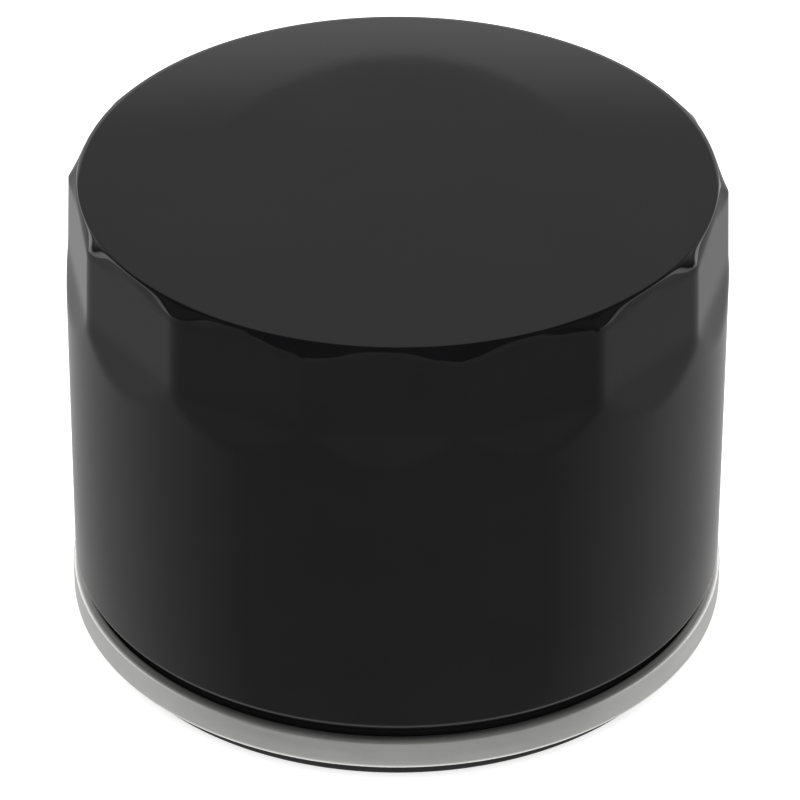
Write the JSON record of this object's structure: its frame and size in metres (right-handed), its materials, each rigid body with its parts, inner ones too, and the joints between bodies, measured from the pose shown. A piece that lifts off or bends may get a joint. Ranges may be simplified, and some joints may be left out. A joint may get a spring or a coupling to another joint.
{
  "type": "oil filter",
  "caption": "Squat spin-on engine oil filter: gloss black can with pressed wrench flats at its closed end, bare steel rolled seam, ring gasket and threaded base plate.",
  "frame": {"origin": "centre of the gasket's sealing face, on the axis of the thread", "axes": "+Z along the thread axis from the gasket's sealing face to the closed end of the can; -Y through the middle of one wrench flat; +X through the edge between two flats"},
  "size_m": [0.0766, 0.0766, 0.0577],
  "materials": {
    "can_paint": "gloss black stoved paint on drawn steel",
    "tinplate": "bare rolled tin-plated steel, satin",
    "zinc_plate": "zinc-plated pressed steel",
    "spring_steel": "drawn spring steel wire",
    "nitrile": "moulded black nitrile rubber",
    "valve_rubber": "soft moulded valve rubber",
    "seam_compound": "grey seaming compound",
    "potting": "cured red-brown plastisol",
    "paper": "resin-treated cellulose filter paper"
  },
  "bodies": {
    "root": {"can_shell": "can_paint", "seaming_lid": "tinplate", "seam_sealant": "seam_compound", "gasket": "nitrile", "base_plate": "zinc_plate", "element_spring": "spring_steel"},
    "anti_drainback": {"anti_drainback_valve": "valve_rubber"},
    "element": {"lower_end_cap": "tinplate", "upper_end_cap": "tinplate", "lower_potting_ring": "potting", "upper_potting_ring": "potting", "pleated_media": "paper", "media_seam_clip": "zinc_plate", "center_tube": "zinc_plate", "bypass_seat_seal": "nitrile", "bypass_cage": "zinc_plate", "bypass_spring": "spring_steel"},
    "bypass": {"bypass_valve_disc": "zinc_plate"}
  },
  "joints": [
    {"name": "element_float", "type": "slide", "parent": "root", "child": "element", "axis": [0, 0, 1], "range_m": [0, 0.0015], "stiffness_N_per_m": 2300, "springref_m": -0.004, "deforming": ["element_spring"]},
    {"name": "bypass_valve_opening", "type": "slide", "parent": "element", "child": "bypass", "axis": [0, 0, -1], "range_m": [0, 0.0025], "stiffness_N_per_m": 1500, "springref_m": -0.0005, "deforming": ["bypass_spring"]},
    {"name": "anti_drainback_lift", "type": "slide", "parent": "root", "child": "anti_drainback", "axis": [0, 0, 1], "range_m": [0, 0.0012], "stiffness_N_per_m": 150, "springref_m": -0.0005, "deforming": ["anti_drainback_valve"]}
  ]
}
